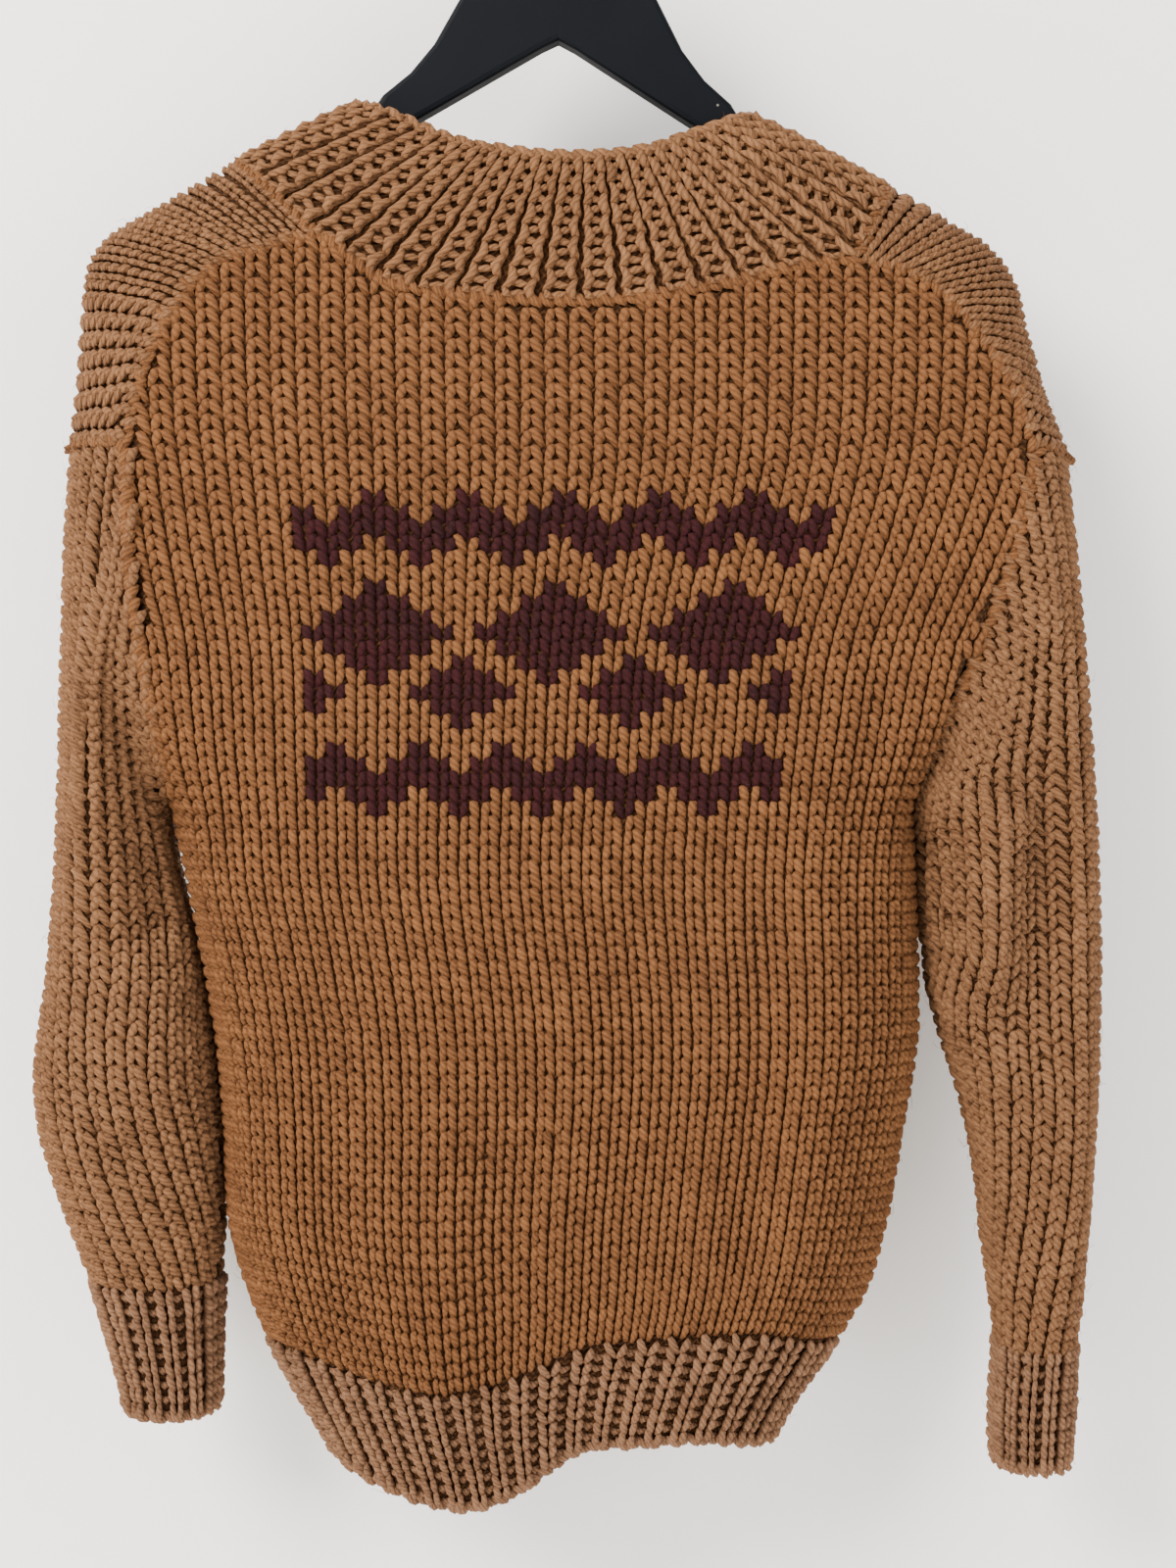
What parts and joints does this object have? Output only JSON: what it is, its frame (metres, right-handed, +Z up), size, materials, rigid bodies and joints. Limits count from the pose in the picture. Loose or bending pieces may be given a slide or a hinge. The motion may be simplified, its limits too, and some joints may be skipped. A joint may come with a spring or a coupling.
{
  "type": "zip cardigan on a flat hanger",
  "caption": "Chunky hand-knit zip cardigan with a garter-ridge collar, shoulder strips and ribbed hem and cuffs, hanging open and hollow on a flat wooden hanger.",
  "frame": {"origin": "the inside top of the hanger's hook, where a rail holds it", "axes": "+Z up, +X to the wearer's right, +Y towards the zipped front, so the back faces -Y"},
  "size_m": [0.5155, 0.1236, 0.8247],
  "materials": {
    "camel_wool": "chunky hand-knit wool, camel brown, slightly fuzzy",
    "zip_tape": "woven polyester tape, matt brown",
    "zip_metal": "aged brass",
    "black_wood": "black satin lacquer",
    "steel_wire": "plain steel wire"
  },
  "bodies": {
    "cardigan": {"back": "camel_wool", "back_hem_rib": "camel_wool", "collar": "camel_wool", "hanger": "black_wood", "hanger_hook": "steel_wire", "left_cuff": "camel_wool", "left_front": "camel_wool", "left_front_hem_rib": "camel_wool", "left_shoulder_strap": "camel_wool", "left_sleeve": "camel_wool", "left_zip_tape": "zip_tape", "right_cuff": "camel_wool", "right_front": "camel_wool", "right_front_hem_rib": "camel_wool", "right_shoulder_strap": "camel_wool", "right_sleeve": "camel_wool", "right_zip_tape": "zip_tape", "zip_bottom_stop": "zip_metal", "zip_slider": "zip_metal"},
    "pull_tab": {"zip_pull_tab": "zip_metal"}
  },
  "joints": [
    {"name": "pull_tab_hinge", "type": "hinge", "parent": "cardigan", "child": "pull_tab", "pos_m": [0, 0.04824, -0.306], "axis": [1, 0, 0], "range_deg": [0, 120]}
  ]
}
